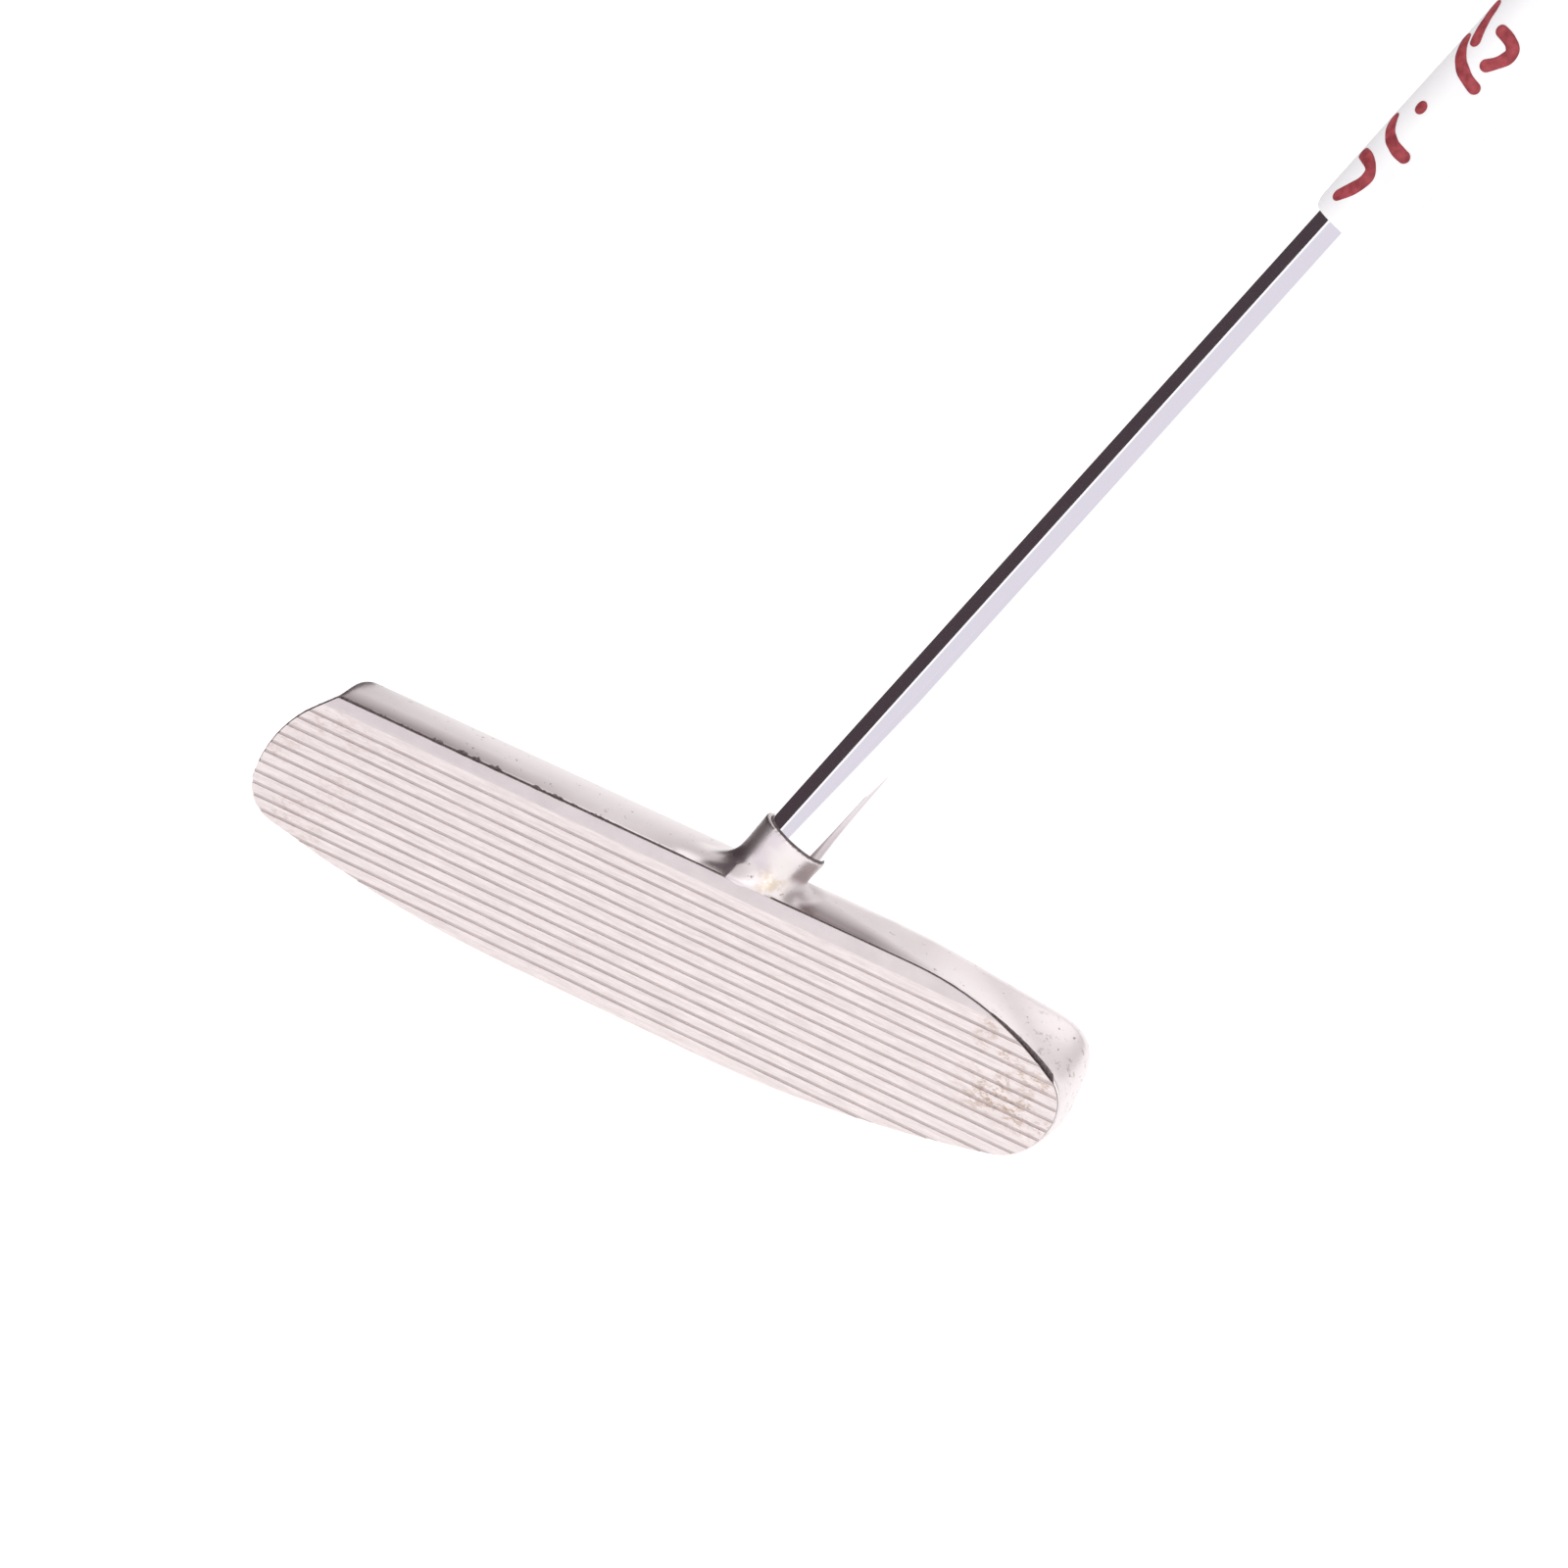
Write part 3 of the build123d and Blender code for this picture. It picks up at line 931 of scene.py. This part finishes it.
def make_pen_marks():
    """Plain red dashes, hooks and a dot, a hair above the paper."""
    low = along_shaft("price_label")[0]
    radius = outer_radius("price_label") + 0.02 * MM
    facing = VIEW_BACK - SHAFT_UP * VIEW_BACK.dot(SHAFT_UP)
    front_angle = math.atan2(facing.dot(GRIP_SIDE), facing.dot(GRIP_FRONT))
    columns = 9
    for number, stroke in enumerate(PEN_STROKES):
        path = smooth_path(stroke, 28)
        flat = [(a * MM, math.radians(b) * radius) for a, b in path]
        rows = []
        for index, (height, arc) in enumerate(flat):
            before = flat[max(index - 1, 0)]
            after = flat[min(index + 1, len(flat) - 1)]
            along = Vector((after[0] - before[0], after[1] - before[1])).normalized()
            away = Vector((-along.y, along.x))
            share = index / (len(flat) - 1)
            swell = 1 + 0.18 * noise.noise(Vector((share * 4, number * 3.0, 0)))
            half = 0.5 * PEN_WIDTH * swell
            rows.append((Vector((height, arc)), away, half))
        start, finish = rows[0], rows[-1]
        rounded = []
        for row, sign in ((start, -1), (finish, 1)):
            ends = []
            tangent = Vector((row[1].y, -row[1].x)) * sign
            for step in range(1, 7):
                turn = math.radians(90) * step / 6
                ends.append((
                    row[0] + tangent * row[2] * math.sin(turn),
                    row[1],
                    max(row[2] * math.cos(turn), 0.01 * MM),
                ))
            rounded.append(ends)
        rows = rounded[0][::-1] + rows + rounded[1]
        top, bottom = [], []
        for centre, away, half in rows:
            over, under = [], []
            for column in range(columns):
                spread = 2 * column / (columns - 1) - 1
                spot = centre + away * half * spread
                angle = front_angle + PEN_SIDE * spot.y / radius
                edge = 0.012 * MM * (1 - spread**2)
                over.append(shaft_place(low + spot.x, radius + edge, angle))
                under.append(shaft_place(low + spot.x, radius - 0.25 * MM, angle))
            top.append(over)
            bottom.append(under)
        rings = [over + under[::-1] for over, under in zip(top, bottom)]
        skin(f"pen_mark_{number + 1}", rings, INK, cap=True)


# ---------------------------------------------------------------- grip

GRIP_COLUMNS = 224
GRIP_ROWS = 640
GROOVE_DEPTH = 0.32 * MM
DIAMOND_PITCH = 4.4 * MM
RIB_PITCH = 3.0 * MM
PLAIN_END = 9.0 * MM


def notch(value, pitch, width):
    """1 in the middle of a groove that repeats with a pitch, 0 on the land, smooth between."""
    offset = abs((value / pitch) % 1.0 - 0.5) * pitch
    return max(0.0, 1 - (offset / (width / 2)) ** 2)


def fade(value, low, high, margin):
    """1 well inside a range and 0 outside it."""
    return max(0.0, min(1.0, (value - low) / margin, (high - value) / margin))


def grip_cut(height, length, angle, half_width):
    """Depth of the moulded pattern at a height above the grip's end and an angle from its front."""
    inside = fade(height, PLAIN_END, length - PLAIN_END, 1.5 * MM)
    turned = (angle + math.pi) % (2 * math.pi) - math.pi
    across = half_width * math.sin(turned)
    if abs(turned) < math.radians(62):
        panel = (height - PLAIN_END) / ((length - 2 * PLAIN_END) / 3)
        gap = min(panel % 1.0, 1 - panel % 1.0)
        rib = notch(height + 0.25 * abs(across), RIB_PITCH, 1.3 * MM)
        middle = fade(across, -6.2 * MM, 6.2 * MM, 0.8 * MM)
        return GROOVE_DEPTH * inside * rib * middle * min(1.0, gap * 18)
    arc = 12 * MM * turned
    one = notch(height + 0.8 * arc, DIAMOND_PITCH, 1.2 * MM)
    two = notch(height - 0.8 * arc, DIAMOND_PITCH, 1.2 * MM)
    side = fade(abs(turned), math.radians(66), math.radians(200), math.radians(4))
    return GROOVE_DEPTH * inside * max(one, two) * side


def make_grip():
    """Rubber grip on the shape of its CAD solid, with diamonds behind and ribs in front."""
    low, high = along_shaft("grip_sleeve")
    length = high - low
    tree = BVHTree.FromPolygons(
        [v.co for v in nodes["grip_sleeve"].data.vertices],
        [tuple(p.vertices) for p in nodes["grip_sleeve"].data.polygons],
    )
    inner = outer_radius("grip_tape") + 0.02 * MM
    angles = [2 * math.pi * column / GRIP_COLUMNS for column in range(GRIP_COLUMNS)]
    rings = [[shaft_place(low + 0.3 * MM, inner, angle) for angle in angles]]
    for row in range(GRIP_ROWS + 1):
        height = length * (0.0008 + 0.9984 * row / GRIP_ROWS)
        ring = []
        for angle in angles:
            far = shaft_place(low + height, 40 * MM, angle)
            centre = shaft_place(low + height, 0, angle)
            hit = tree.ray_cast(far, (centre - far).normalized())[0]
            reach = (hit - centre).length if hit else 9 * MM
            lip = 0.5 * MM * max(0.0, 1 - height / (0.9 * MM)) ** 2
            cut = grip_cut(height, length, angle, reach)
            ring.append(shaft_place(low + height, reach - lip - cut, angle))
        rings.append(ring)
    rings.append([shaft_place(high, inner, angle) for angle in angles])
    skin("rubber_grip", rings, RUBBER, "grip_sleeve", loop_rows=True)


make_body()
make_mouth_glue_and_gap_shade()
make_plate_bead()
make_label()
make_pen_marks()
make_grip()

# ---------------------------------------------------------------- stage and light


def flat_card(name, corners, shader):
    """A flat card out of view that only mirrors in the metal."""
    mesh = bpy.data.meshes.new(name)
    mesh.from_pydata(corners, [], [tuple(range(len(corners)))])
    card = bpy.data.objects.new(name, mesh)
    bpy.context.scene.collection.objects.link(card)
    dress(card, shader.material)
    card.visible_camera = False
    card.visible_diffuse = False
    card.visible_shadow = False


def glowing(name, color, glow, base):
    shader = Shader(name, (base, base, base), 0.9)
    shader.set("Specular IOR Level", 0.0)
    shader.set("Emission Color", (*color, 1.0))
    shader.set("Emission Strength", glow)
    return shader


def make_floor():
    half = 4.0
    mesh = bpy.data.meshes.new("floor")
    corners = [(-half, -half, 0), (half, -half, 0), (half, half, 0), (-half, half, 0)]
    mesh.from_pydata(corners, [], [(0, 1, 2, 3)])
    floor = bpy.data.objects.new("floor", mesh)
    floor.location.z = -0.1 * MM
    bpy.context.scene.collection.objects.link(floor)
    dress(floor, glowing("floor", (1.0, 1.0, 1.0), 0.96, 0.2).material)


def area_light(name, place, aim, size, power):
    data = bpy.data.lights.new(name, "AREA")
    data.shape = "RECTANGLE"
    data.size, data.size_y = size
    data.energy = power
    light = bpy.data.objects.new(name, data)
    light.location = place
    light.rotation_euler = (Vector(aim) - Vector(place)).to_track_quat("-Z", "Y").to_euler()
    bpy.context.scene.collection.objects.link(light)


def make_world():
    """White studio: bright up to about 24 degrees above the horizon, and greyer overhead."""
    world = bpy.data.worlds.new("studio")
    world.use_nodes = True
    tree = world.node_tree
    background = tree.nodes["Background"]
    background.inputs["Strength"].default_value = 1.0
    direction = tree.nodes.new("ShaderNodeTexCoord")
    parts = tree.nodes.new("ShaderNodeSeparateXYZ")
    ramp = tree.nodes.new("ShaderNodeValToRGB")
    tree.links.new(direction.outputs["Generated"], parts.inputs[0])
    tree.links.new(parts.outputs["Z"], ramp.inputs["Fac"])
    tree.links.new(ramp.outputs["Color"], background.inputs["Color"])
    ramp.color_ramp.elements[0].position = 0.40
    ramp.color_ramp.elements[0].color = (1.1, 1.1, 1.1, 1.0)
    ramp.color_ramp.elements[1].position = 0.66
    ramp.color_ramp.elements[1].color = (0.66, 0.63, 0.64, 1.0)
    top = ramp.color_ramp.elements.new(0.92)
    top.color = (0.72, 0.71, 0.72, 1.0)
    bpy.context.scene.world = world


# Upright cards as (start, end, height): bearings in degrees from the front towards the toe, metres.
DARK_WALLS = ((67.5, 88, 1.05), (88, 110, 1.05), (110, 132, 0.34), (132, 158, 0.24))
LILAC_WALLS = ((3, 24, 0.3), (24, 45, 0.3), (45, 60, 0.3))
LILAC_FLOOR = (3, 20, 35, 50)
CARD_CENTRE = Vector((0.013, 0, 0))
DARK_AWAY = 0.45
LILAC_AWAY = 0.9


def bearing_point(degrees, away, height):
    """Point at a bearing and a distance from the middle of the cards."""
    turn = math.radians(degrees)
    return CARD_CENTRE + Vector((-math.sin(turn), -math.cos(turn), 0)) * away + Vector((0, 0, height))


def make_walls(name, walls, away, shader):
    for number, (start, finish, height) in enumerate(walls, 1):
        corners = [
            bearing_point(start, away, 0.002),
            bearing_point(finish, away, 0.002),
            bearing_point(finish, away, height),
            bearing_point(start, away, height),
        ]
        flat_card(f"{name}_{number}", corners, shader)


def make_cards():
    """What the metal mirrors: a dark wall on the toe's side, and lilac cards in front of it."""
    dark = Shader("dark_card", (0.062, 0.045, 0.052), 0.95)
    dark.set("Specular IOR Level", 0.0)
    make_walls("dark_card", DARK_WALLS, DARK_AWAY, dark)
    lilac = glowing("lilac_card", (0.74, 0.71, 0.79), 0.98, 0.05)
    make_walls("lilac_card", LILAC_WALLS, LILAC_AWAY, lilac)
    inner = [bearing_point(degrees, 0.30, 0.001) for degrees in reversed(LILAC_FLOOR)]
    outer = [bearing_point(degrees, LILAC_AWAY, 0.001) for degrees in LILAC_FLOOR]
    flat_card("lilac_card_4", inner + outer, lilac)


def make_light():
    area_light("overhead", (0.1, 0.1, 1.9), (0, 0, 0), (1.6, 1.6), 4)
    area_light("heel_fill", (0.13, 0.40, 0.34), (0.05, 0, 0.02), (0.26, 0.2), 0.05)
    area_light("front", (0.35, -1.6, 0.75), (0, 0, 0.02), (1.4, 0.7), 2)


make_floor()
make_world()
make_cards()
make_light()
bpy.context.scene.view_settings.view_transform = "Standard"
